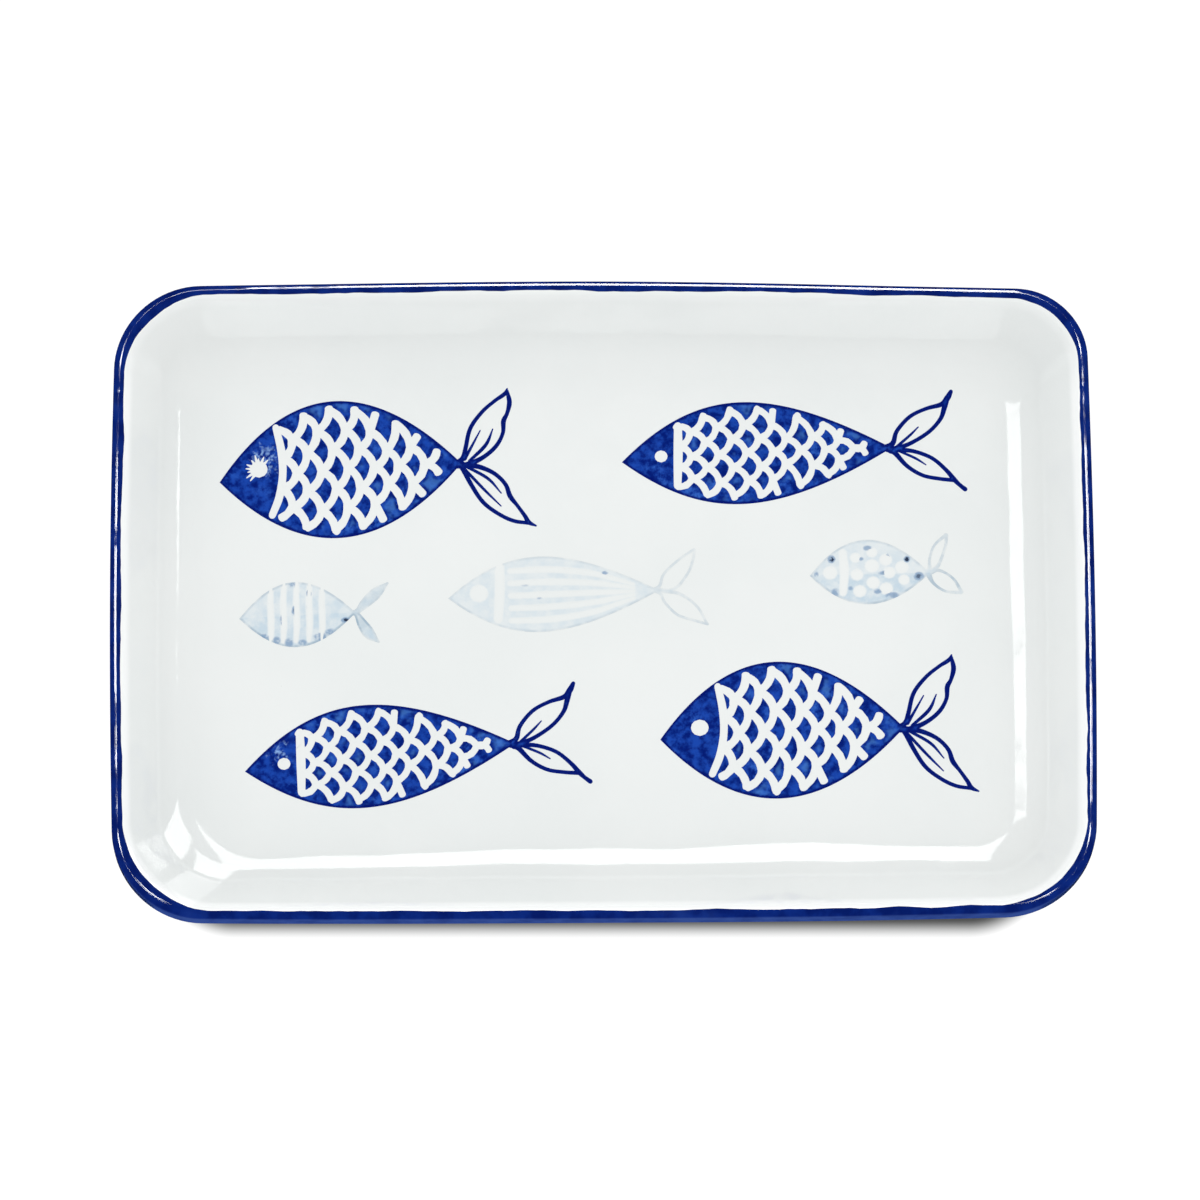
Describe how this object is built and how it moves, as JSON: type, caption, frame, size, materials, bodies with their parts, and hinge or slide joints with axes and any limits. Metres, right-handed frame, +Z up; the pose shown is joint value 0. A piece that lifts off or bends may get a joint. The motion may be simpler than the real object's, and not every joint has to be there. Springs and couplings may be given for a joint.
{
  "type": "rectangular serving plate",
  "caption": "Rectangular glazed stoneware serving plate with sloped walls, a foot ring, a blue lip line and printed fish on the floor of its well.",
  "frame": {"origin": "on the table under the middle of the plate, at the bottom of the foot ring", "axes": "+X along the plate's long side, towards the tails of the fish; +Y along its short side, towards the back edge; +Z up, out of the well"},
  "size_m": [0.24, 0.1586, 0.0233],
  "materials": {
    "bare_clay": "unglazed fired stoneware, matt",
    "white_glaze": "glossy white glaze with a faint cool tint and a few specks",
    "cobalt_line": "brushed cobalt under a gloss glaze, darker at its edges",
    "deep_print": "stamped cobalt, mottled, under a gloss glaze",
    "pale_print": "thin grey-blue stamp with soft edges under a gloss glaze"
  },
  "bodies": {
    "root": {"clay_body": "bare_clay", "well_glaze": "white_glaze", "outer_glaze": "white_glaze", "underside_glaze": "white_glaze", "rim_band": "cobalt_line", "round_fish_back_left": "deep_print", "slim_fish_back_right": "deep_print", "slim_fish_front_left": "deep_print", "round_fish_front_right": "deep_print", "banded_fish_left": "pale_print", "striped_fish_middle": "pale_print", "spotted_fish_right": "pale_print"}
  },
  "joints": []
}
